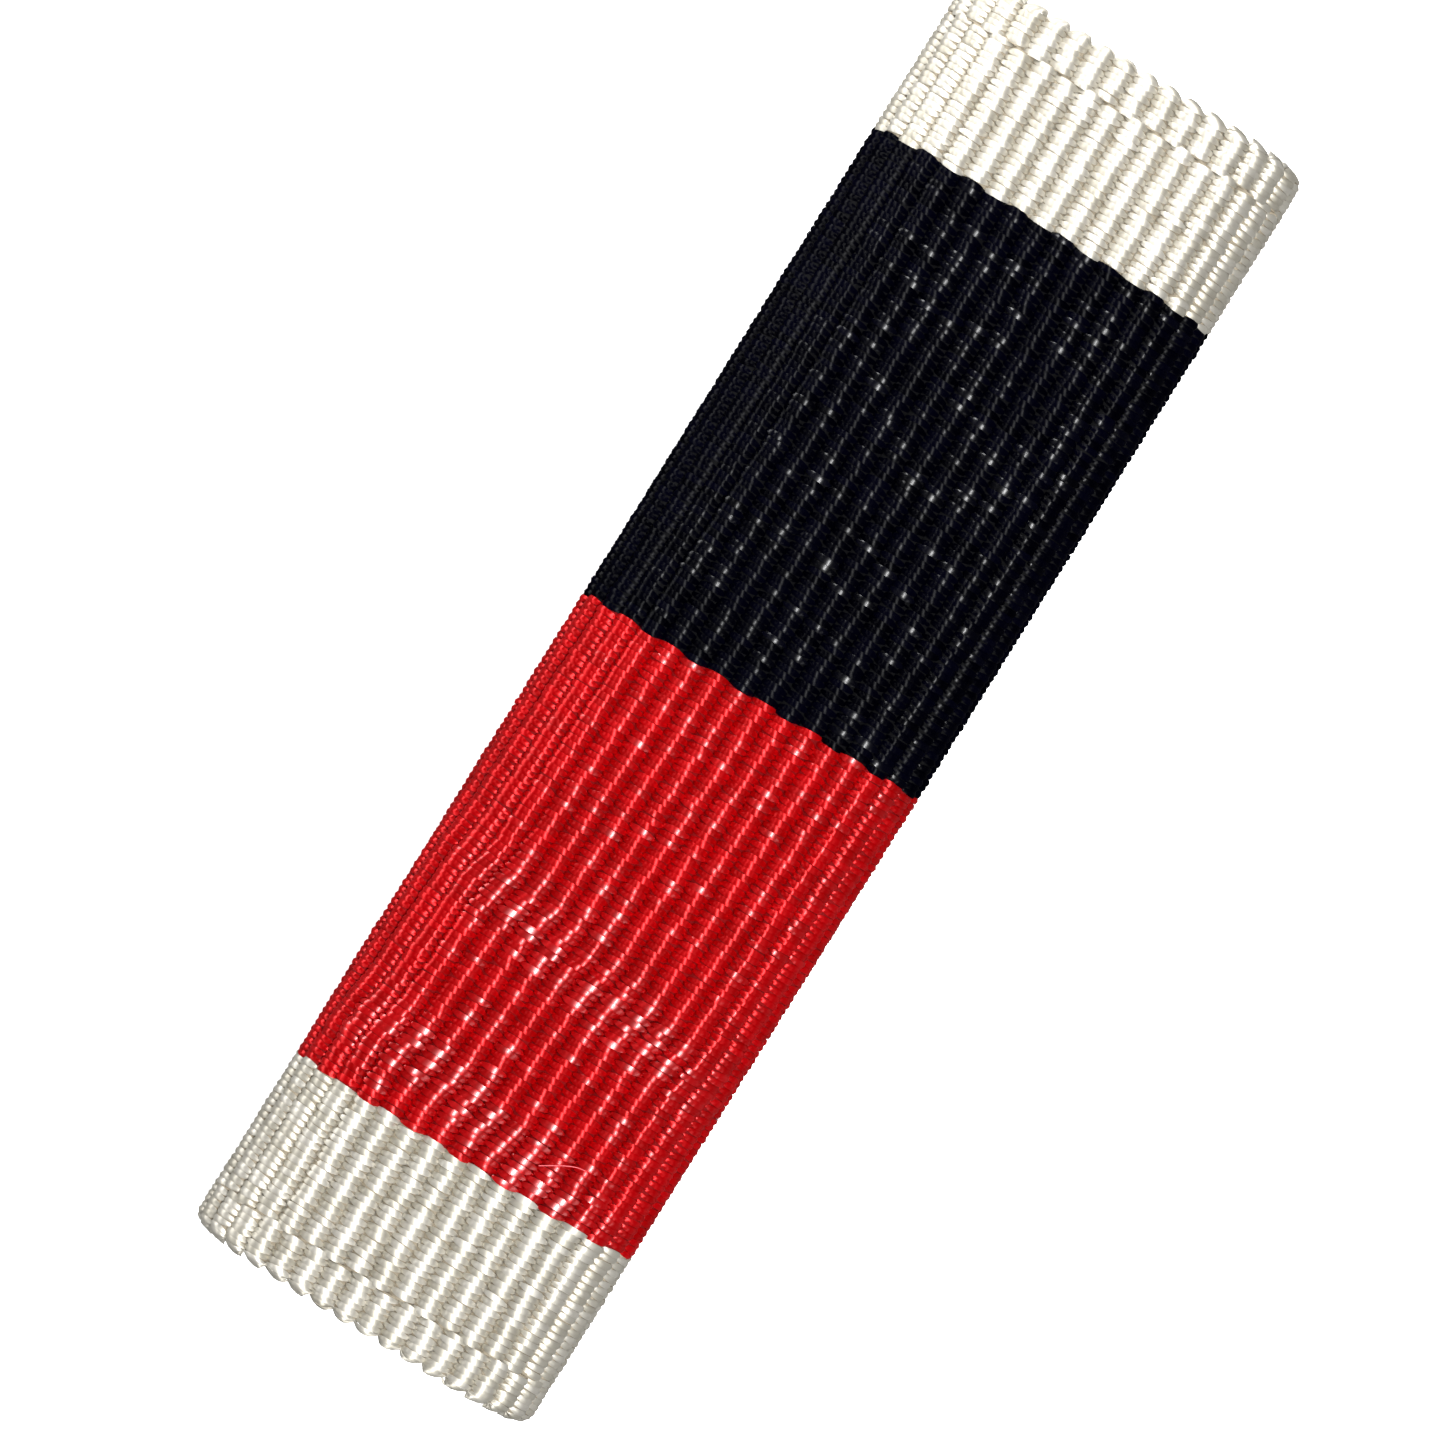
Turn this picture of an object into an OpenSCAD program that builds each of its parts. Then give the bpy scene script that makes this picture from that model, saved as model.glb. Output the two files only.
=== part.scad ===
// Ribbon bar: a striped, ribbed ribbon wrapped round a brass channel that slides on a mounting rail.
// The bar lies on its back. X runs along the bar, to the viewer's right when it is worn, Y runs up,
// Z points out of the ribbon's face, and the origin is below the middle, where the back rests.

/* [Ribbon] */
// Width of the ribbon from one woven edge to the other, which is the length of the bar
ribbon_w = 34.9; // [20:0.1:60]
// Thickness of the cloth, measured over its ribs
cloth_t = 1; // [0.8:0.05:1.5]
// Distance from one rib to the next
rib_pitch = 0.63; // [0.5:0.01:0.9]
// Height of a rib above the groove beside it
rib_rise = 0.18; // [0.1:0.01:0.2]
// Width of the woven edge at each end, where the ribs lie between those of the cloth
selvage_w = 1.15; // [0.6:0.05:2]
// Radius of the ribbon's four corners, seen from the front
corner_r = 0.4; // [0.2:0.05:0.6]

/* [Bar] */
// Height of the covered bar, over the ribbon, from one long edge to the other
bar_h = 9.4; // [8.5:0.1:14]
// Thickness of the brass sheet
sheet_t = 0.4; // [0.3:0.05:0.6]
// Depth of the slot that the mounting rail slides into
slot_d = 1.2; // [0.8:0.1:1.6]
// Width of the slot's mouth, between the edges of the two lips
mouth_w = 3; // [2:0.1:3.6]
// How far the brass stops short of the ribbon at each end
brass_inset = 0.5; // [0.2:0.1:3]
// How far each cut end of the ribbon stops short of the edge of its lip
flap_inset = 0.3; // [0.2:0.05:0.6]
// Gap between the ribbon and the brass
fit_gap = 0.05; // [0.02:0.01:0.1]

/* [Hidden] */
$fn = 48;

// Columns of the table of stripes
STRIPE_COLOUR = 0;
STRIPE_SHARE = 1;
// The stripes from the viewer's left to right as worn: colour, share of the ribbon's width
STRIPES = [
    ["#efece2", 0.126],
    ["#0b0a14", 0.371],
    ["#c4101c", 0.366],
    ["#efece2", 0.137],
];
BRASS = "#c9a24b";

// The brass section is a flat tube with half-round sides, cut open along its back
channel_d = slot_d + 2 * sheet_t;
channel_r = channel_d / 2;
slot_r = slot_d / 2;
// The ribbon follows it, and its crests are the outside of the bar
cloth_in_r = channel_r + fit_gap;
crest_r = cloth_in_r + cloth_t;
// Height of the section's middle above the surface that the bar rests on
mid_z = crest_r;
// Distance from the middle to the centre of each rolled long edge
roll_y = bar_h / 2 - crest_r;
// A rib's arc spans one pitch and stands one rise above the groove
rib_r = (pow(rib_pitch, 2) / 4 + pow(rib_rise, 2)) / (2 * rib_rise);
// The rib's arc is centred this far from the middle plane of the section
rib_axis_r = crest_r - rib_r;
// Ribs keep their pitch along the grooves
groove_r = crest_r - rib_rise;
// The plain cloth lies this many rises below the crests, so it is under the bottom of the grooves
ground_depth = 1.5;
ground_r = crest_r - ground_depth * rib_rise;
// Half the ribbon's gap at the back, and half its length along the grooves
flap_y = mouth_w / 2 + flap_inset;
half_wrap = roll_y + PI * groove_r + roll_y - flap_y;
ribs_a_side = floor((half_wrap - rib_pitch / 2) / rib_pitch);
brass_w = ribbon_w - 2 * brass_inset;

// Stripes begin on whole steps of this size, so that neighbours share a face
stripe_step = 0.01;
// The circle functions turn in degrees
degrees_a_radian = 180 / PI;

// Share of the ribbon's width that lies before stripe i
function share_before(i) = i == 0 ? 0 : share_before(i - 1) + STRIPES[i - 1][STRIPE_SHARE];

// Distance along X from the ribbon's edge to the start of stripe i
function stripe_start(i) =
    i == len(STRIPES) ? ribbon_w : round(ribbon_w * share_before(i) / stripe_step) * stripe_step;

// Place of a rib's centre in the section, s along the groove line from the middle of the face
function rib_place(s) =
    let (side = sign(s), past_face = abs(s) - roll_y, turn = past_face / groove_r * degrees_a_radian)
    past_face <= 0 ? [s, rib_axis_r]
    : turn <= 180 ? [side * (roll_y + rib_axis_r * sin(turn)), rib_axis_r * cos(turn)]
    : [side * (roll_y + PI * groove_r - past_face), -rib_axis_r];

// Draws a section's flat shape along X, with the shape's x as Y and its y as Z
module along_x(start, length) {
    translate([start, 0, mid_z])
        rotate([90, 0, 90])
            linear_extrude(length)
                children();
}

// A flat bar's section with half-round sides of radius r
module rounded_bar(r) {
    translate([-roll_y, -r])
        square([2 * roll_y, 2 * r]);
    for (side = [-1, 1])
        translate([side * roll_y, 0])
            circle(r);
}

// The opening along the back, half_gap to each side of the middle
module back_gap(half_gap) {
    translate([-half_gap, -2 * crest_r])
        square([2 * half_gap, 2 * crest_r]);
}

// The ribbed cloth round the bar. shift moves its ribs along the wrap, in pitches
module ribbon_section(shift) {
    difference() {
        union() {
            difference() {
                rounded_bar(ground_r);
                back_gap(flap_y);
            }
            for (i = [-ribs_a_side : ribs_a_side - (shift > 0 ? 1 : 0)])
                translate(rib_place((i + shift) * rib_pitch))
                    circle(rib_r);
        }
        rounded_bar(cloth_in_r);
    }
}

// The ribbon's outline from the front, as tall as the bar is thick
module front_outline() {
    corner_x = ribbon_w / 2 - corner_r;
    corner_y = bar_h / 2 - corner_r;
    linear_extrude(2 * crest_r) {
        square([ribbon_w, 2 * corner_y], center = true);
        square([2 * corner_x, bar_h], center = true);
        for (x = [-corner_x, corner_x], y = [-corner_y, corner_y])
            translate([x, y])
                circle(corner_r);
    }
}

// The woven edge that starts at this place, with ribs half a pitch over and rounded corners
module selvage(start) {
    intersection() {
        along_x(start, selvage_w)
            ribbon_section(0.5);
        front_outline();
    }
}

// One woven band in four stripes, with a woven edge at each end
module ribbon() {
    last = len(STRIPES) - 1;
    for (i = [0 : last]) {
        start = stripe_start(i) + (i == 0 ? selvage_w : 0);
        end = stripe_start(i + 1) - (i == last ? selvage_w : 0);
        color(STRIPES[i][STRIPE_COLOUR])
            along_x(start - ribbon_w / 2, end - start)
                ribbon_section(0);
    }
    color(STRIPES[0][STRIPE_COLOUR])
        selvage(-ribbon_w / 2);
    color(STRIPES[last][STRIPE_COLOUR])
        selvage(ribbon_w / 2 - selvage_w);
}

// Brass sheet rolled into a channel, with a rounded edge on each lip
module channel_bar() {
    lip_y = mouth_w / 2 + sheet_t / 2;
    color(BRASS)
        along_x(-brass_w / 2, brass_w) {
            difference() {
                rounded_bar(channel_r);
                rounded_bar(slot_r);
                back_gap(lip_y);
            }
            for (side = [-1, 1])
                translate([side * lip_y, -channel_r + sheet_t / 2])
                    circle(sheet_t / 2);
        }
}

ribbon();
channel_bar();
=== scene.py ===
# %% [markdown]
# # A ribbon bar, woven and wrapped in Blender
#
# The bar is a short brass channel with a striped ribbon wrapped round it. The ribbon is grosgrain: fine
# silky warp yarns run across thick weft cords, pass over one cord and dive under the next, so that the cords
# stand up as ribs and hide completely. Each rib shows one row of short warp floats, and the floats of
# neighbouring ribs mesh like the teeth of a zip. The script weaves the ribbon flat, as a loom does, and then
# wraps it round the bar, as the maker does. X runs along the bar, Y up as it is worn, Z out of its face.

# %% The frame
import math

import bpy
import numpy as np
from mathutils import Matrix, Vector


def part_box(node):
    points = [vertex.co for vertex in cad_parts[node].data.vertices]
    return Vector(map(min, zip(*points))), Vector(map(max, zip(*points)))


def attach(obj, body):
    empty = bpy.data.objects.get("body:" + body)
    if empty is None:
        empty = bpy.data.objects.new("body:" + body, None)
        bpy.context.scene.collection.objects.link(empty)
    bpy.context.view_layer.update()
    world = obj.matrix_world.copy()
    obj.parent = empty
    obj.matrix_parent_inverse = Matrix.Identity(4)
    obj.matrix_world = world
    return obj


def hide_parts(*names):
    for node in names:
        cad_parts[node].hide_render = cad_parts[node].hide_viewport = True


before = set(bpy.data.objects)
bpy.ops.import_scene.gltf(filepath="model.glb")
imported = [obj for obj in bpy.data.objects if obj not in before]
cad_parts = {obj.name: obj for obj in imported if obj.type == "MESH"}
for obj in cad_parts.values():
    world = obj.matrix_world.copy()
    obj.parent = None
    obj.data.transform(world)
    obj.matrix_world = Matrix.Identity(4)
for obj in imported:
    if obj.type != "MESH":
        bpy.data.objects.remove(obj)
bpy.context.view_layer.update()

print("solids of the frame:", ", ".join(sorted(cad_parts)))

# %% [markdown]
# ## Sizes
#
# The frame gives the outside of the ribbon, and the rest of its sizes are those of the solid part, in
# millimetres. Lengths across the ribs are measured along the grooves, which is where ribs keep their pitch
# when the ribbon goes round a bend. The middle of the face is 0, and the two cut ends meet at the back.

# %% Sizes
MM = 0.001
low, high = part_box("ribbon")
RIBBON_W = (high.x - low.x) / MM
BAR_H = (high.y - low.y) / MM
CREST_R = (high.z - low.z) / MM / 2

CLOTH_T = 1.0
RIB_PITCH = 0.63
RIB_RISE = 0.18
SELVAGE_W = 1.15
CORNER_R = 0.4
MOUTH_W = 3.0
FLAP_INSET = 0.3
RIB_R = (RIB_PITCH ** 2 / 4 + RIB_RISE ** 2) / (2 * RIB_RISE)
GROOVE_R = CREST_R - RIB_RISE
ROLL_Y = BAR_H / 2 - CREST_R
FLAP_Y = MOUTH_W / 2 + FLAP_INSET
HALF_WRAP = ROLL_Y + math.pi * GROOVE_R + ROLL_Y - FLAP_Y
RIBS_A_SIDE = int((HALF_WRAP - RIB_PITCH / 2) / RIB_PITCH)
BODY_X = RIBBON_W / 2 - SELVAGE_W

print(f"ribbon {RIBBON_W:.1f} x {2 * HALF_WRAP:.2f} mm flat, {2 * RIBS_A_SIDE + 1} ribs")

# %% [markdown]
# ## Small tools
#
# Operators act on all that is selected, so every step starts from an empty selection. Vertices, edges and
# faces are picked in object mode, by where they are, and edit mode then finds them selected.

# %% Small tools
# Points this close to a place, in millimetres, count as being there
NEAR = 0.01
# Points closer than this, in metres, are one point
SAME = 1e-7


def select_only(*objects):
    """Selects these objects and makes the first one active."""
    bpy.ops.object.select_all(action="DESELECT")
    for o in objects:
        o.select_set(True)
    bpy.context.view_layer.objects.active = objects[0]


def edit(obj, kind, wanted):
    """Opens edit mode with only the wanted vertices, edges or faces of obj selected."""
    select_only(obj)
    mesh = obj.data
    for part in (mesh.polygons, mesh.edges, mesh.vertices):
        part.foreach_set("select", [False] * len(part))
    parts = {"VERT": mesh.vertices, "EDGE": mesh.edges, "FACE": mesh.polygons}[kind]
    parts.foreach_set("select", [bool(wanted(p)) for p in parts])
    bpy.context.tool_settings.mesh_select_mode = [kind == k for k in ("VERT", "EDGE", "FACE")]
    bpy.ops.object.mode_set(mode="EDIT")


def done():
    """Back to object mode."""
    bpy.ops.object.mode_set(mode="OBJECT")


def apply_place(obj):
    """Puts obj's place, turn and scale into its mesh."""
    select_only(obj)
    bpy.ops.object.transform_apply(location=True, rotation=True, scale=True)


def copy_of(obj, name):
    """A copy of obj with its own mesh."""
    new = obj.copy()
    new.data = obj.data.copy()
    new.name = new.data.name = name
    bpy.context.collection.objects.link(new)
    return new


def join(name, *objects):
    """One object out of several."""
    select_only(*objects)
    bpy.ops.object.join()
    objects[0].name = objects[0].data.name = name
    return objects[0]


def repeat(obj, count, step):
    """count copies of obj in a row, each one a step (in millimetres) from the last, in one mesh."""
    select_only(obj)
    bpy.ops.object.modifier_add(type="ARRAY")
    row = obj.modifiers[-1]
    row.count = count
    row.use_relative_offset = False
    row.use_constant_offset = True
    row.constant_offset_displace = [s * MM for s in step]
    bpy.ops.object.modifier_apply(modifier=row.name)


def points(obj):
    """The places of obj's vertices in millimetres, one row each."""
    flat = np.empty(len(obj.data.vertices) * 3)
    obj.data.vertices.foreach_get("co", flat)
    return flat.reshape(-1, 3) / MM


def put_points(obj, places):
    """Moves obj's vertices to these places in millimetres."""
    obj.data.vertices.foreach_set("co", (places * MM).ravel())
    obj.data.update()


# %% [markdown]
# ## The wrap
#
# The path that the ribbon takes round the bar is drawn once, along the grooves: from one cut end on the back,
# round a long edge, across the face, round the other edge and back. A Curve modifier then wraps anything
# that was woven flat, with its height above the flat as its height above the path. The curve's own X axis
# is turned to the part's Y, its Y to Z and its Z to X, so the flat weaving can lie face up at the origin.

# %% The wrap
PATH_STEP = 0.05


def on_path(s):
    """(y, z) of the groove line, s along it from the middle of the face."""
    side = math.copysign(1, s)
    past_face = abs(s) - ROLL_Y
    if past_face <= 0:
        return s, CREST_R + GROOVE_R
    turn = past_face / GROOVE_R
    if turn <= math.pi:
        return side * (ROLL_Y + GROOVE_R * math.sin(turn)), CREST_R + GROOVE_R * math.cos(turn)
    return side * (ROLL_Y + math.pi * GROOVE_R - past_face), CREST_R - GROOVE_R


stations = np.linspace(-HALF_WRAP, HALF_WRAP, round(2 * HALF_WRAP / PATH_STEP) + 1)
path_data = bpy.data.curves.new("wrap_path", "CURVE")
path_data.dimensions = "2D"
groove_line = path_data.splines.new("POLY")
groove_line.points.add(len(stations) - 1)
for point, s in zip(groove_line.points, stations):
    y, z = on_path(s)
    point.co = ((y + HALF_WRAP) * MM, z * MM, 0, 1)
wrap_path = bpy.data.objects.new("wrap_path", path_data)
wrap_path.location = (0, -HALF_WRAP * MM, 0)
wrap_path.rotation_euler = (math.radians(90), 0, math.radians(90))
bpy.context.collection.objects.link(wrap_path)


def wrap(obj):
    """Wraps flat weaving round the bar."""
    select_only(obj)
    bpy.ops.object.modifier_add(type="CURVE")
    obj.modifiers[-1].object = wrap_path
    obj.modifiers[-1].deform_axis = "POS_X"
    bpy.ops.object.modifier_apply(modifier=obj.modifiers[-1].name)


print(f"path of {len(stations)} points")

# %% [markdown]
# ## One warp float
#
# A float is the short length of warp yarn that shows where it passes over a weft cord: a flattened bundle
# of straight, glossy filaments, as wide as the yarn spacing on the crest of the rib, squeezed where the
# floats of the next rib come in between, and thin where it dives under them. It starts as a five-sided
# cylinder, because some six thousand copies of it have to stay light, and each of its rings is then resized
# and lifted into place. The crest is nearly flat and the flanks are steep, so that the gloss stays one bright
# line along each rib, even where the ribbon turns round a long edge. The two side edges are marked sharp:
# the floats lie side by side like slats, with a fine dark joint between them.

# %% One warp float
BODY_COLUMNS = 191
YARN_GAP = 2 * BODY_X / BODY_COLUMNS
FLOAT_L = 4 / 3 * RIB_PITCH
FLOAT_T = 0.1
FLOAT_SIDES = 5
FLOAT_CUTS = 6
# An edge this far out, as a share of the yarn spacing, lies on one of the float's two sides
SIDE_SHARE = 0.45
# The rings from the middle outwards: place along the yarn, height of the top above the groove, and width
# and thickness as shares of the full ones. The last ring lies under the floats of the next rib
RINGS = [
    (0.085, 0.173, 1.03, 1.0),
    (0.19, 0.126, 0.94, 0.95),
    (0.29, 0.034, 0.62, 0.8),
    (0.37, -0.06, 0.4, 0.5),
]


def rib_height(t):
    """Height of a rib's arc above the groove, t from its crest line."""
    return math.sqrt(RIB_R ** 2 - t ** 2) - RIB_R + RIB_RISE


bpy.ops.object.select_all(action="DESELECT")
bpy.ops.mesh.primitive_cylinder_add(
    vertices=FLOAT_SIDES, radius=0.5 * MM, depth=FLOAT_L * MM, rotation=(math.radians(90), 0, 0)
)
warp_float = bpy.context.object
warp_float.name = "warp_float"
warp_float.scale = (YARN_GAP, FLOAT_T, 1)
apply_place(warp_float)


def runs_along(edge):
    """Whether an edge of the cylinder runs along it."""
    a, b = [warp_float.data.vertices[i].co for i in edge.vertices]
    return abs(a.x - b.x) + abs(a.z - b.z) < 1e-6


def on_side(edge):
    """Whether an edge runs along one of the two sides."""
    a = warp_float.data.vertices[edge.vertices[0]].co
    return runs_along(edge) and abs(a.x) / MM > SIDE_SHARE * YARN_GAP


edit(warp_float, "EDGE", runs_along)
bpy.ops.mesh.subdivide(number_cuts=FLOAT_CUTS)
done()
edit(warp_float, "EDGE", on_side)
bpy.ops.mesh.mark_sharp()
done()

for k, (place, top, width, thickness) in enumerate(RINGS):
    even = FLOAT_L / (FLOAT_CUTS + 1) * (k + 0.5)
    for side in (-1, 1):
        edit(warp_float, "VERT", lambda v: abs(v.co.y / MM - side * even) < NEAR)
        bpy.ops.transform.resize(value=(width, 1, thickness), center_override=(0, side * even * MM, 0))
        move = (0, side * (place - even) * MM, (top - thickness * FLOAT_T / 2) * MM)
        bpy.ops.transform.translate(value=move)
        done()

select_only(warp_float)
bpy.ops.object.shade_smooth()
FLOAT_POINTS = len(warp_float.data.vertices)
print(f"float: {len(warp_float.data.polygons)} faces, yarns {YARN_GAP:.3f} mm apart")

# %% [markdown]
# ## Weaving
#
# Rows of floats are laid with two Array modifiers, one along the rib and one from rib to rib. Every other
# rib is laid by itself, half a yarn over. Real yarn never lies quite alike, so each float is then turned,
# shifted and lifted a little, by a seeded generator that gives the same cloth each time, and keeps a random
# tone of its own for the dye and a gloss of its own for how well its filaments lie together.
#
# The weft isn't straight either. It bows over by two ribs from the red end to the black one, partly in two
# small jogs where the ribbon was creased across. The floats there are pulled loose, and many catch the light.

# %% Weaving
SEED = 7
# Where the weft lies at the red end, and the bow from there on
WEFT_START = -0.11
BOW_START = 11.6
BOW_END = -11.5
BOW = 0.9
# Each crease's place on the middle of the face, and how far the weft jogs over at it
CREASES = [(11.8, 0.2), (7.6, 0.21)]
CREASE_LEAN = 0.25
CREASE_W = 1.5
# How much flatter than its rib a quite slack float lies
SLACK = 0.6
# Away from the creases few floats are slack: the greatest share, and the power that makes it rare
STRAY_SLACK = 0.8
STRAY_POWER = 6
# Least slack of a float on a crease
CREASE_SLACK = 0.2
# Spread of the floats' turns, and how much more they rock on a crease
YAW = math.radians(2)
ROLL = math.radians(5)
PITCH = math.radians(1.5)
CREASE_ROCK = 2
# Mean and spread of their widths, and the spread of their places
WIDTH = (1.02, 0.05)
SHIFT = [0.006, 0.014, 0.006]
# Ribs laid past each cut end, since the bow moves them along
SPARE_RIBS = 3
# A float with its middle this close to a cut end, in pitches, is left out
CUT_CLEAR = 0.4


def smooth(x):
    """0 below 0, 1 above 1, and an S curve between."""
    x = np.clip(x, 0, 1)
    return x * x * (3 - 2 * x)


def drift(x, s):
    """How far the weft lies over at a place on the flat ribbon."""
    to_go = 1 - np.clip((BOW_START - x) / (BOW_START - BOW_END), 0, 1)
    over = WEFT_START + BOW * (1 - to_go ** 2)
    for place, jog in CREASES:
        past = (place + CREASE_LEAN * s - x) / CREASE_W
        over += jog * smooth(past + 0.5)
    return over


def creased(x, s):
    """1 on a crease, 0 away from one and on the back."""
    near = 0
    for place, _ in CREASES:
        past = (place + CREASE_LEAN * s - x) / CREASE_W
        near = near + np.exp(-(2 * past) ** 2)
    return near * (1 - smooth((np.abs(s) - ROLL_Y) / ROLL_Y))


def lay_floats(name, first_x, columns, gap, first_rib, ribs):
    """Floats in even columns, on this many ribs from first_rib, which may be half a pitch over."""
    sets = []
    for odd in (0, 1):
        row = copy_of(warp_float, f"{name}_{odd}")
        start = np.array([first_x + (odd * 0.5 + 0.25) * gap, (first_rib + odd) * RIB_PITCH, 0])
        put_points(row, points(row) + start)
        repeat(row, columns, (gap, 0, 0))
        repeat(row, (ribs + 1 - odd) // 2, (0, 2 * RIB_PITCH, 0))
        sets.append(row)
    return join(name, *sets)


def loosen(obj, random):
    """Turns, shifts and lifts each float a little, and gives it its tone and gloss."""
    p = points(obj).reshape(-1, FLOAT_POINTS, 3)
    count = len(p)
    middle = p.mean(axis=1, keepdims=True)
    middle[..., 2] = 0
    p -= middle
    crease = creased(middle[:, 0, 0], middle[:, 0, 1])[:, None]
    on_face = 1 - smooth((np.abs(middle[:, 0, 1]) - ROLL_Y) / ROLL_Y)[:, None]
    stray = STRAY_SLACK * on_face * random.random((count, 1)) ** STRAY_POWER
    slack = stray + crease * (CREASE_SLACK + (1 - CREASE_SLACK) * random.random((count, 1)))
    yaw = random.normal(0, YAW, (count, 1))
    roll = random.normal(0, ROLL, (count, 1))
    pitch = random.normal(0, PITCH, (count, 1)) * (1 + CREASE_ROCK * crease)
    wide = random.normal(*WIDTH, (count, 1))
    x, y, z = p[..., 0] * wide, p[..., 1], p[..., 2]
    z = RIB_RISE - (RIB_RISE - z) * (1 - SLACK * np.clip(slack, 0, 1))
    axis_z = 0.5 * RIB_RISE
    x, z = x + roll * (z - axis_z), z - roll * x
    y, z = y, z + pitch * y
    x, y = x - yaw * y, y + yaw * x
    p = np.stack([x, y, z], axis=-1) + middle
    shift = random.normal(0, 1, (count, 1, 3)) * SHIFT
    p = (p + shift).reshape(-1, 3)
    put_points(obj, p)
    for name, values in {"tone": random.random(count), "gloss": slack[:, 0]}.items():
        own = obj.data.attributes.new(name, "FLOAT", "POINT")
        own.data.foreach_set("value", np.repeat(values, FLOAT_POINTS))


# Radius of the woven edges
EDGE_R = 0.2


def bend_edge(p):
    """Turns what lies past the woven edge down round it."""
    start = RIBBON_W / 2 - EDGE_R
    past = np.abs(p[:, 0]) - start
    turn = np.clip(past / EDGE_R, 0, math.pi / 2)
    beyond = np.maximum(past - EDGE_R * math.pi / 2, 0)
    h = p[:, 2]
    bent = past > 0
    x = start + (EDGE_R + h - RIB_RISE) * np.sin(turn)
    z = (EDGE_R + h - RIB_RISE) * np.cos(turn) - EDGE_R + RIB_RISE - beyond
    out = p.copy()
    out[bent, 0] = (np.sign(p[:, 0]) * x)[bent]
    out[bent, 2] = z[bent]
    return out


def round_corners(p):
    """Draws the ends of the long edges in, to round the four corners seen from the front."""
    past = np.clip(np.abs(p[:, 0]) - (RIBBON_W / 2 - CORNER_R), 0, CORNER_R)
    drawn_in = CORNER_R - np.sqrt(CORNER_R ** 2 - past ** 2)
    out = p.copy()
    out[:, 1] *= 1 - drawn_in / (BAR_H / 2)
    return out


def pull_weft(obj):
    """Lays the weft over, with its bow and jogs."""
    p = points(obj)
    p[:, 1] += drift(p[:, 0], p[:, 1])
    put_points(obj, p)


def finish_cloth(obj):
    """Woven edges, the wrap and the corners, for anything woven flat."""
    put_points(obj, bend_edge(points(obj)))
    wrap(obj)
    put_points(obj, round_corners(points(obj)))


def trim_floats(obj):
    """Cuts off the floats that lie past a cut end of the ribbon."""
    middles = points(obj).reshape(-1, FLOAT_POINTS, 3)[:, :, 1].mean(axis=1)
    past = np.repeat(np.abs(middles) > HALF_WRAP - CUT_CLEAR * RIB_PITCH, FLOAT_POINTS)
    edit(obj, "VERT", lambda v: past[v.index])
    bpy.ops.mesh.delete(type="VERT")
    done()


random = np.random.default_rng(SEED)
FIRST_RIB = -RIBS_A_SIDE - SPARE_RIBS
RIBS = 2 * RIBS_A_SIDE + 1 + SPARE_RIBS
COLUMNS = {"white_black_side": 19, "black": 76, "red": 75, "white_red_side": 21}
stripes = {}
x = -BODY_X
for name, columns in COLUMNS.items():
    stripes[name] = lay_floats(f"{name}_floats", x, columns, YARN_GAP, FIRST_RIB, RIBS)
    loosen(stripes[name], random)
    x += columns * YARN_GAP

# The woven edge is laid flat as long as it is round its turn, and a little further, to tuck it under
EDGE_COLUMNS = 9
EDGE_TUCK = 0.15
EDGE_GAP = (SELVAGE_W - EDGE_R + EDGE_R * math.pi / 2 + EDGE_TUCK) / EDGE_COLUMNS
for name, x in (("white_black_side", -BODY_X - EDGE_COLUMNS * EDGE_GAP), ("white_red_side", BODY_X)):
    edge = lay_floats(f"{name}_edge", x, EDGE_COLUMNS, EDGE_GAP, FIRST_RIB + 0.5, RIBS)
    loosen(edge, random)
    stripes[name] = join(f"{name}_floats", stripes[name], edge)

for floats in stripes.values():
    pull_weft(floats)
    trim_floats(floats)
    finish_cloth(floats)
    print(floats.name, len(floats.data.polygons), "faces")

# %% [markdown]
# ## Cut warp ends
#
# On the bar's back the ribbon was cut with scissors, and the ends of the warp yarns stick out of the cloth
# there, some further than others. One short, tapered end is repeated along both cuts, and each copy gets its
# own length, height in the cloth and lean. The ends join the floats of their stripe, because they are the
# same yarns.

# %% Cut warp ends
# How far an end reaches into the cloth, and out of it at least and at most
END_IN = 0.06
END_OUT = (0.03, 0.2)
END_R = 0.045
END_TAPER = 0.7
# Spread of how far they lean over, and their lowest and highest place in the cloth
END_LEAN = 0.25
END_LAYERS = (-0.7, -0.12)

bpy.ops.object.select_all(action="DESELECT")
bpy.ops.mesh.primitive_cylinder_add(
    vertices=FLOAT_SIDES,
    radius=END_R * MM,
    depth=MM,
    location=(0, MM / 2, 0),
    rotation=(math.radians(90), 0, 0),
)
warp_end = bpy.context.object
warp_end.name = "warp_end"
apply_place(warp_end)
edit(warp_end, "VERT", lambda v: v.co.y > MM / 2)
bpy.ops.transform.resize(value=(END_TAPER, 1, END_TAPER), center_override=(0, MM, 0))
done()
select_only(warp_end)
bpy.ops.object.shade_smooth()
END_POINTS = len(warp_end.data.vertices)


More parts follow.
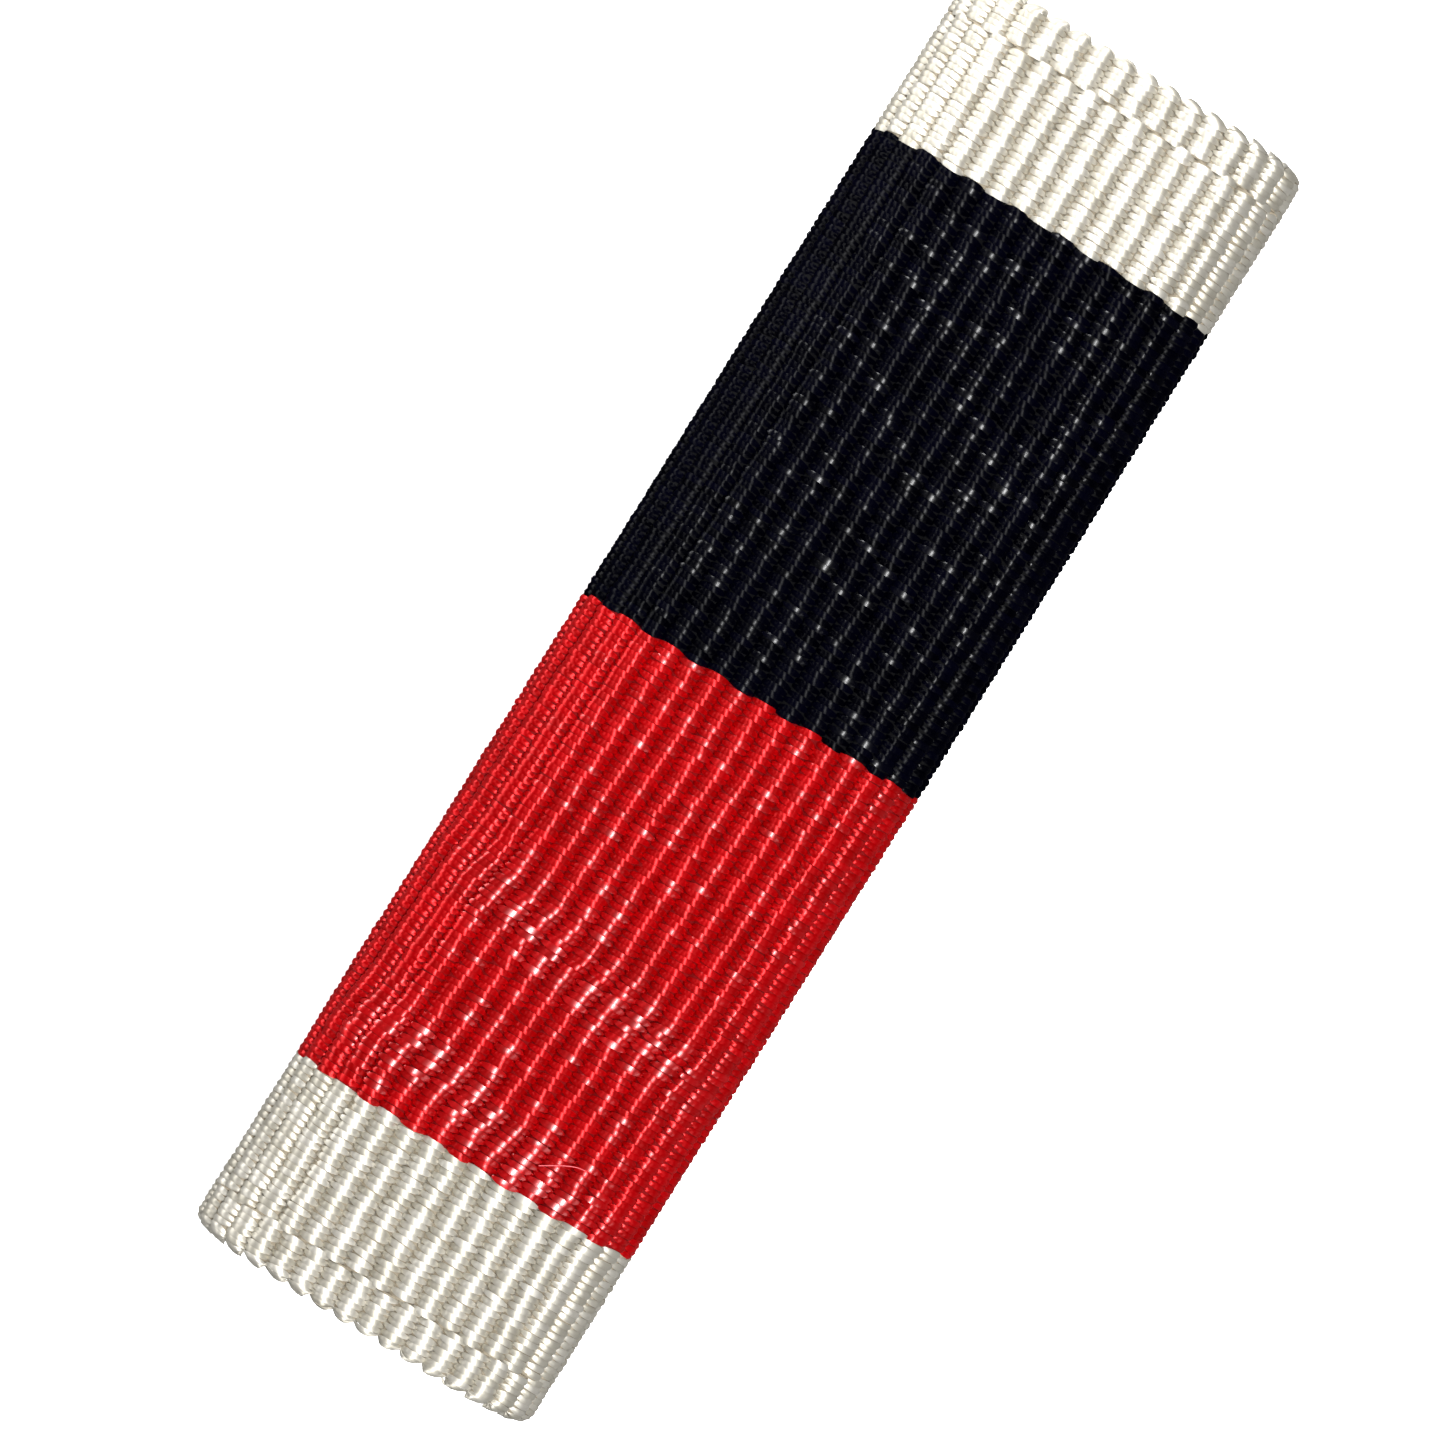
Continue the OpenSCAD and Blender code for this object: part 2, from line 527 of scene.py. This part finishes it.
def lay_ends(name, first_x, columns, gap):
    """The cut yarns of one stripe, along both cuts."""
    row = copy_of(warp_end, name)
    put_points(row, points(row) + [first_x + gap / 4, 0, 0])
    repeat(row, 2 * columns, (gap / 2, 0, 0))
    repeat(row, 2, (0, 0, 1))
    p = points(row).reshape(2, 2 * columns, END_POINTS, 3)
    p[1, ..., 2] -= 1
    one_each = (2, 2 * columns, 1)
    reach = END_IN + random.uniform(*END_OUT, one_each)
    lean = random.normal(0, END_LEAN, one_each)
    layer = random.uniform(*END_LAYERS, one_each)
    side = np.array([-1, 1]).reshape(2, 1, 1)
    y = p[..., 1] * reach - END_IN
    p[..., 0] += lean * y
    p[..., 1] = side * (HALF_WRAP + y)
    p[..., 2] += layer
    put_points(row, p.reshape(-1, 3))
    for own, value in {"tone": 0.5, "gloss": 0.0}.items():
        kept = row.data.attributes.new(own, "FLOAT", "POINT")
        kept.data.foreach_set("value", np.full(p[..., 0].size, value))
    # The first side was mirrored, so its faces turn outward again
    edit(row, "FACE", lambda f: True)
    bpy.ops.mesh.normals_make_consistent(inside=False)
    done()
    finish_cloth(row)
    return row


x = -BODY_X
for name, columns in COLUMNS.items():
    ends = lay_ends(f"{name}_ends", x, columns, YARN_GAP)
    stripes[name] = join(f"{name}_floats", stripes[name], ends)
    x += columns * YARN_GAP
print("cut ends:", 4 * BODY_COLUMNS)

# %% [markdown]
# ## The ground of the ribbon
#
# Under the floats lies the body of the cloth: the weft cords with the hidden lengths of warp between them.
# It shows only between the floats, at the edges and at the cut ends, so it is one closed band with an arc for
# each cord. It is laid longer than the ribbon and cut through across the bowed cords, as scissors would, and
# the cords' turns round off its woven edges.

# %% The ground of the ribbon
# How far the cords lie below the floats, and the height of the cloth's inside
GROUND_DEPTH = 0.06
CLOTH_IN = CREST_R - CLOTH_T - GROOVE_R
ARC_STEPS = 6
BODY_GRID = 96
EDGE_GRID = 3
# The rounded woven edge, as steps outward and shares of the thickness
TURN_STEPS = [(0.09, 0.86), (0.06, 0.6)]
borders = np.cumsum([0] + list(COLUMNS.values())) * YARN_GAP - BODY_X


def ribbed_band(name, x0, x1, columns, first_rib, ribs):
    """A band of ribs from x0 to x1, flat below, closed all round."""
    bpy.ops.object.select_all(action="DESELECT")
    bpy.ops.mesh.primitive_grid_add(x_subdivisions=columns, y_subdivisions=ARC_STEPS, size=1)
    band = bpy.context.object
    band.name = name
    band.scale = ((x1 - x0) * MM, RIB_PITCH * MM, 1)
    band.location = ((x0 + x1) / 2 * MM, first_rib * RIB_PITCH * MM, 0)
    apply_place(band)
    step = (x1 - x0) / columns
    for border in borders[1:-1]:
        near = x0 + round((border - x0) / step) * step
        if x0 < near < x1:
            edit(band, "VERT", lambda v: abs(v.co.x / MM - near) < NEAR)
            bpy.ops.transform.translate(value=((border - near) * MM, 0, 0))
            done()
    for k in range(ARC_STEPS + 1):
        t = (k / ARC_STEPS - 0.5) * RIB_PITCH
        y = first_rib * RIB_PITCH + t
        edit(band, "VERT", lambda v: abs(v.co.y / MM - y) < NEAR)
        bpy.ops.transform.translate(value=(0, 0, (rib_height(t) - GROUND_DEPTH) * MM))
        done()
    repeat(band, ribs, (0, RIB_PITCH, 0))
    edit(band, "VERT", lambda v: True)
    bpy.ops.mesh.remove_doubles(threshold=1e-6)
    done()
    pull_weft(band)
    for side in (-1, 1):
        edit(band, "VERT", lambda v: True)
        cut = {"plane_co": (0, side * HALF_WRAP * MM, 0), "plane_no": (0, side, 0)}
        bpy.ops.mesh.bisect(**cut, clear_outer=True, threshold=SAME)
        done()
    edit(band, "VERT", lambda v: True)
    bpy.ops.mesh.extrude_region_move()
    bpy.ops.transform.resize(value=(1, 1, 0), center_override=(0, 0, CLOTH_IN * MM))
    bpy.ops.mesh.select_all(action="SELECT")
    bpy.ops.mesh.normals_make_consistent(inside=False)
    done()
    return band


def round_off(band, x, side):
    """Rounds off the woven edge at x, on the side that it faces."""
    edit(band, "FACE", lambda f: abs(f.center.x / MM - x) < NEAR)
    for out, share in TURN_STEPS:
        bpy.ops.mesh.extrude_region_move(TRANSFORM_OT_translate={"value": (side * out * MM, 0, 0)})
        bpy.ops.transform.resize(value=(1, 1, share), center_override=(0, 0, (CLOTH_IN + RIB_RISE) / 2 * MM))
    done()


body = ribbed_band("body", -BODY_X, BODY_X, BODY_GRID, FIRST_RIB, RIBS)
outer_x = RIBBON_W / 2 - EDGE_R
left = ribbed_band("left", -outer_x, -BODY_X, EDGE_GRID, FIRST_RIB + 0.5, RIBS)
right = ribbed_band("right", BODY_X, outer_x, EDGE_GRID, FIRST_RIB + 0.5, RIBS)
round_off(left, -outer_x, -1)
round_off(right, outer_x, 1)
ground = join("ribbon_ground", body, left, right)
finish_cloth(ground)
print("ground", len(ground.data.polygons), "faces")

# %% [markdown]
# ## A loose fibre
#
# One fibre has come out of a red yarn and lies across two ribs. It is far thinner than a yarn, so it is a
# curve with a round section, turned into a mesh, resting on the crests and sagging a little between them.

# %% A loose fibre
FIBRE_R = 0.012
# Places on the face, and heights above the crests
FIBRE = [
    (11.88, 1.62, 0.07),
    (11.79, 1.76, 0.03),
    (11.70, 1.91, 0.0),
    (11.57, 2.12, 0.03),
    (11.48, 2.31, 0.0),
    (11.43, 2.46, -0.01),
    (11.41, 2.60, 0.02),
]

fibre_data = bpy.data.curves.new("loose_fibre", "CURVE")
fibre_data.dimensions = "3D"
fibre_data.bevel_depth = FIBRE_R * MM
fibre_data.bevel_resolution = 1
fibre_data.use_fill_caps = True
strand = fibre_data.splines.new("NURBS")
strand.points.add(len(FIBRE) - 1)
for point, (x, y, h) in zip(strand.points, FIBRE):
    point.co = (x * MM, y * MM, (2 * CREST_R + FIBRE_R + h) * MM, 1)
strand.use_endpoint_u = True
strand.order_u = 3
fibre = bpy.data.objects.new("loose_fibre", fibre_data)
bpy.context.collection.objects.link(fibre)
select_only(fibre)
bpy.ops.object.convert(target="MESH")
# A curve's end caps come loose from its tube, so they are joined on
edit(fibre, "VERT", lambda v: True)
bpy.ops.mesh.remove_doubles(threshold=SAME)
bpy.ops.mesh.normals_make_consistent(inside=False)
done()
select_only(fibre)
bpy.ops.object.shade_smooth()
print("fibre", len(fibre.data.polygons), "faces")

# %% [markdown]
# ## Finishes
#
# Every finish is worked out by its shader from the piece's own coordinates, with no picture behind it. Sizes
# of patterns are those of the real thing, unless a comment says that they are coarser to show. Colours are
# written as they look on a screen, and turned into the linear ones that the shader needs.

# %% Helpers for finishes
def linear(hex_colour):
    """A linear colour from an sRGB one such as #c0ffee."""
    channels = [int(hex_colour[i:i + 2], 16) / 255 for i in (1, 3, 5)]
    return [c / 12.92 if c <= 0.04045 else ((c + 0.055) / 1.055) ** 2.4 for c in channels] + [1]


def material(name):
    """A new material, its nodes and its main shader."""
    made = bpy.data.materials.new(name)
    made.use_nodes = True
    return made, made.node_tree, made.node_tree.nodes["Principled BSDF"]


def add(tree, kind, sockets=None, **settings):
    """Adds a node. settings are its own, and sockets its inputs: a value, or another node's output."""
    node = tree.nodes.new(kind)
    for name, value in settings.items():
        setattr(node, name, value)
    for name, value in (sockets or {}).items():
        if isinstance(value, bpy.types.NodeSocket):
            tree.links.new(value, node.inputs[name])
        else:
            node.inputs[name].default_value = value
    return node


# %% [markdown]
# ### Dyed rayon yarn
#
# Each float is a bundle of straight, glossy filaments, so it doesn't shine at a point: it lights up in a thin
# line across the filaments, where they turn toward the lamp. On a row of floats these lines join into the
# bright zigzag along each crest. The shader gives this with strong anisotropy along the yarn, turned a little
# because the yarn is twisted. Part of the gloss is metallic, because light that passes through the filaments
# comes back dyed. Some yarns lie better together than others: a clear coat gives these a white glint.

# %% Dyed rayon yarn
# Filaments round the yarn. At about 0.018 mm each a real one would have twice as many, too fine to show
FILAMENTS = 12
FILAMENT_H = 0.0001
# Turn of the gloss off the yarn's own direction, as a share of a full turn
TWIST = 0.035
# How much the roughness varies over a yarn, and the roughness of the coat that gives the glints
ROUGHNESS_SPREAD = 0.06
GLINT_ROUGHNESS = 0.22


def yarn(name, deep, face, metallic, specular, roughness, glint, straight=1.0):
    """Rayon yarn dyed between two tones. glint is the coat on the glossiest floats, and straight is how
    straight the filaments lie: less than 1 gives a wider line."""
    made, tree, shader = material(name)
    shader.inputs["Metallic"].default_value = metallic
    shader.inputs["Specular IOR Level"].default_value = specular
    shader.inputs["Anisotropic"].default_value = straight
    shader.inputs["Anisotropic Rotation"].default_value = TWIST
    shader.inputs["Coat Roughness"].default_value = GLINT_ROUGHNESS
    # The gloss line runs across the yarn, whose way round is the U of its cylinder
    tangent = add(tree, "ShaderNodeTangent", direction_type="UV_MAP", uv_map="UVMap")
    tree.links.new(tangent.outputs["Tangent"], shader.inputs["Tangent"])
    # Every float took up the dye a little differently
    tone = add(tree, "ShaderNodeAttribute", attribute_name="tone")
    dye = add(
        tree,
        "ShaderNodeMix",
        {0: tone.outputs["Fac"], 6: linear(deep), 7: linear(face)},
        data_type="RGBA",
    )
    tree.links.new(dye.outputs[2], shader.inputs["Base Color"])
    # Filaments along the yarn, as fine ridges
    place = add(tree, "ShaderNodeUVMap", uv_map="UVMap")
    along = add(tree, "ShaderNodeMapping", {"Vector": place.outputs["UV"], "Scale": (FILAMENTS, 1.2, 1)})
    own = add(tree, "ShaderNodeMath", {0: tone.outputs["Fac"], 1: 100}, operation="MULTIPLY")
    ridges = add(
        tree,
        "ShaderNodeTexNoise",
        {"Vector": along.outputs["Vector"], "W": own.outputs["Value"], "Scale": 1, "Detail": 1},
        noise_dimensions="4D",
    )
    relief = add(tree, "ShaderNodeBump", {"Height": ridges.outputs["Fac"], "Distance": FILAMENT_H * MM})
    tree.links.new(relief.outputs["Normal"], shader.inputs["Normal"])
    # Where the filaments lie less straight, the line is wider
    spread = add(
        tree,
        "ShaderNodeMapRange",
        {
            "Value": ridges.outputs["Fac"],
            "To Min": roughness - ROUGHNESS_SPREAD,
            "To Max": roughness + ROUGHNESS_SPREAD,
        },
    )
    tree.links.new(spread.outputs["Result"], shader.inputs["Roughness"])
    # Single glints
    gloss = add(tree, "ShaderNodeAttribute", attribute_name="gloss")
    shine = add(
        tree,
        "ShaderNodeMath",
        {0: gloss.outputs["Fac"], 1: glint},
        operation="MULTIPLY",
        use_clamp=True,
    )
    tree.links.new(shine.outputs["Value"], shader.inputs["Coat Weight"])
    return made


white = yarn("white rayon yarn", "#bdb8aa", "#d4d0c6", 0.71, 0.5, 0.6, 0.9, straight=0.8)
black = yarn("black rayon yarn", "#000002", "#010108", 0.0, 0.055, 0.42, 0.5)
red = yarn("red rayon yarn", "#a60104", "#c0030a", 0.55, 0.42, 0.44, 0.9)
DYES = {"white_black_side": white, "black": black, "red": red, "white_red_side": white}
for name, finish in DYES.items():
    stripes[name].data.materials.append(finish)
print("yarns:", ", ".join(sorted({finish.name for finish in DYES.values()})))

# A single filament lets much of the light through, so it looks paler than the yarn that it came from
pale, tree, shader = material("single red rayon filament")
shader.inputs["Roughness"].default_value = 0.45
place = add(tree, "ShaderNodeTexCoord")
wave = add(tree, "ShaderNodeTexNoise", {"Vector": place.outputs["Object"], "Scale": 1 / (0.2 * MM)})
tint = add(
    tree,
    "ShaderNodeMix",
    {0: wave.outputs["Fac"], 6: linear("#c8202a"), 7: linear("#f08088")},
    data_type="RGBA",
)
tree.links.new(tint.outputs[2], shader.inputs["Base Color"])
fibre.data.materials.append(pale)

# %% [markdown]
# ### Packed yarn between the cords, in painted shade
#
# Between the floats one looks down on warp yarns that lie packed round the hidden cords. Little light gets
# in there and comes back out, and this layer paints that as shade: a deeper tone of each stripe's colour,
# dull, with the fine furrows of the yarns, which are painted darker still as shade.

# %% Packed yarn between the cords, in painted shade
FURROW_H = 0.02


def packed(name, deep, face):
    """Packed yarn in painted shade, from the deep tone painted as shade in its furrows to the tone of its
    face.
    """
    made, tree, shader = material(name)
    shader.inputs["Roughness"].default_value = 0.85
    shader.inputs["Specular IOR Level"].default_value = 0.15
    place = add(tree, "ShaderNodeTexCoord")
    size = (1 / (YARN_GAP / 2 * MM), 1 / (RIB_PITCH * MM), 1 / (RIB_PITCH * MM))
    along = add(tree, "ShaderNodeMapping", {"Vector": place.outputs["Object"], "Scale": size})
    furrows = add(tree, "ShaderNodeTexNoise", {"Vector": along.outputs["Vector"], "Scale": 1, "Detail": 2})
    # Painted shade: the low places of the furrow noise take the deeper colour, and the ridges the lighter one
    dye = add(
        tree,
        "ShaderNodeMix",
        {0: furrows.outputs["Fac"], 6: linear(deep), 7: linear(face)},
        data_type="RGBA",
    )
    tree.links.new(dye.outputs[2], shader.inputs["Base Color"])
    relief = add(tree, "ShaderNodeBump", {"Height": furrows.outputs["Fac"], "Distance": FURROW_H * MM})
    tree.links.new(relief.outputs["Normal"], shader.inputs["Normal"])
    return made


# Each stripe's colour in a deeper tone, painted as the shade that falls between the floats
for finish in (
    packed("white yarn in painted shade", "#6c6354", "#a39a88"),
    packed("black yarn in painted shade", "#000001", "#020205"),
    packed("red yarn in painted shade", "#500103", "#8a0408"),
):
    ground.data.materials.append(finish)
for face in ground.data.polygons:
    x = face.center.x / MM
    face.material_index = 0 if x < borders[1] or x > borders[3] else 1 if x < borders[2] else 2
print("ground finishes:", ", ".join(m.name for m in ground.data.materials))

# %% [markdown]
# ### Rolled brass
#
# The channel is bent from sheet that came off polished rolls, which leave fine lines along it. It then spent
# years inside the cloth, where it turned a warm brown in patches. The tarnish is duller than the bare metal,
# so one noise drives both colour and roughness, and a second one, drawn out along X, cuts the rolling lines.

# %% Rolled brass
# Width, length and depth of the rolling lines, and size of the tarnished patches, in millimetres
ROLLING_LINE = 0.05
ROLLING_RUN = 6
ROLLING_H = 0.002
TARNISH_SPOT = 2.5

brass, tree, shader = material("rolled brass")
shader.inputs["Metallic"].default_value = 1
place = add(tree, "ShaderNodeTexCoord")
size = (1 / (ROLLING_RUN * MM), 1 / (ROLLING_LINE * MM), 1 / (ROLLING_LINE * MM))
drawn = add(tree, "ShaderNodeMapping", {"Vector": place.outputs["Object"], "Scale": size})
lines = add(tree, "ShaderNodeTexNoise", {"Vector": drawn.outputs["Vector"], "Scale": 1, "Detail": 3})
spots = add(
    tree,
    "ShaderNodeTexNoise",
    {"Vector": place.outputs["Object"], "Scale": 1 / (TARNISH_SPOT * MM), "Detail": 6, "Roughness": 0.65},
)
tarnish = add(tree, "ShaderNodeMapRange", {"Value": spots.outputs["Fac"], "From Min": 0.42, "From Max": 0.68})
colour = add(
    tree,
    "ShaderNodeMix",
    {0: tarnish.outputs["Result"], 6: linear("#cfa652"), 7: linear("#80602f")},
    data_type="RGBA",
)
tree.links.new(colour.outputs[2], shader.inputs["Base Color"])
dull = add(tree, "ShaderNodeMapRange", {"Value": tarnish.outputs["Result"], "To Min": 0.26, "To Max": 0.5})
scratched = add(
    tree,
    "ShaderNodeMath",
    {0: lines.outputs["Fac"], 1: 0.12, 2: dull.outputs["Result"]},
    operation="MULTIPLY_ADD",
)
tree.links.new(scratched.outputs["Value"], shader.inputs["Roughness"])
relief = add(tree, "ShaderNodeBump", {"Height": lines.outputs["Fac"], "Distance": ROLLING_H * MM})
tree.links.new(relief.outputs["Normal"], shader.inputs["Normal"])
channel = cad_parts["channel_bar"]
channel.data.materials.clear()
channel.data.materials.append(brass)
print("channel_bar finish:", brass.name)

# %% [markdown]
# ## Floor and light
#
# The bar lies on its back on pure white paper, lit through from below as on a light table, so that no shadow
# is seen on it. It is left out of reflections, where it would wash out the rolled long edges. A long, narrow
# strip overhead draws the bright line along each rib. A weak light from the red end gives the lines their
# soft shoulder, a low one beside the bar lifts the rolled edge there, and a small card of light beyond the
# black stripe brightens the white one next to it.

# %% Floor and light
# Side of the paper in metres, and how far below the bar it lies in millimetres, so that no yarn dips into it
FLOOR_SIZE = 4
FLOOR_DROP = 0.02
WORLD_LIGHT = 0.04

bpy.ops.object.select_all(action="DESELECT")
bpy.ops.mesh.primitive_plane_add(size=FLOOR_SIZE, location=(0, 0, -FLOOR_DROP * MM))
floor = bpy.context.object
floor.name = "floor"
paper, tree, shader = material("white paper")
shader.inputs["Base Color"].default_value = linear("#f4f4f4")
shader.inputs["Roughness"].default_value = 0.9
shader.inputs["Emission Color"].default_value = linear("#ffffff")
shader.inputs["Emission Strength"].default_value = 1.0
floor.data.materials.append(paper)
# Not seen in reflections
floor.visible_glossy = False

scene = bpy.context.scene
scene.view_settings.view_transform = "Standard"
world = bpy.data.worlds.new("studio")
world.use_nodes = True
world.node_tree.nodes["Background"].inputs["Color"].default_value = (1, 1, 1, 1)
world.node_tree.nodes["Background"].inputs["Strength"].default_value = WORLD_LIGHT
scene.world = world


def lamp(name, place, aim, size, power, spread=180):
    """A soft light of this size along X and across it, from a place to a point on the bar, in millimetres."""
    data = bpy.data.lights.new(name, "AREA")
    data.shape = "RECTANGLE"
    data.size = size[0] * MM
    data.size_y = size[1] * MM
    data.energy = power
    data.spread = math.radians(spread)
    obj = bpy.data.objects.new(name, data)
    obj.location = [c * MM for c in place]
    beam = Vector(aim) - Vector(place)
    obj.rotation_euler = beam.to_track_quat("-Z", "Y").to_euler()
    obj.visible_camera = False
    bpy.context.collection.objects.link(obj)
    return obj


lamp("strip", (0, 45, 300), (0, 0, 4), (220, 24), 1.7)
lamp("side", (32, 46, 44), (18, 0, 4), (36, 16), 0.0018, 100)
lamp("rim", (-60, -195, 24), (0, -4, 2), (120, 40), 0.32)
lamp("card", (-33, -26, 30), (-23, 0, 4), (8, 14), 0.0045, 90)

# %% [markdown]
# ## Camera
#
# The camera looks straight down on the face, from far enough off to show little perspective, and is turned
# until the bar slants as it does in the photo, with the tip of its upper end out of the picture.

# %% Camera
# How far the camera is turned round its own axis, in degrees, its focal length and its place, in millimetres
CAMERA_TURN = 122
CAMERA_LENS = 179
CAMERA_PLACE = (0.83, -0.09, 173.5)
camera_data = bpy.data.cameras.new("camera")
camera_data.lens = CAMERA_LENS
camera_data.sensor_width = 36
camera_data.clip_start = 0.01
camera = bpy.data.objects.new("camera", camera_data)
camera.location = [c * MM for c in CAMERA_PLACE]
camera.rotation_euler = (0, 0, math.radians(CAMERA_TURN))
bpy.context.collection.objects.link(camera)
scene.camera = camera
print(f"camera {camera.location.z / MM:.1f} mm above the floor")

# %% [markdown]
# ## Hand-over
#
# The woven pieces take the place of the part's plain ribbon and keep its form. The ground is a cloth sheet,
# as wide as the ribbon and as long as its path round the brass, and the floats and the loose fibre go with
# it. The tools of the weaving are cleared away first.

# %% Hand-over
for helper in (warp_float, warp_end, wrap_path):
    bpy.data.objects.remove(helper)
for piece in [ground, *stripes.values(), fibre]:
    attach(piece, "root")
    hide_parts("ribbon")
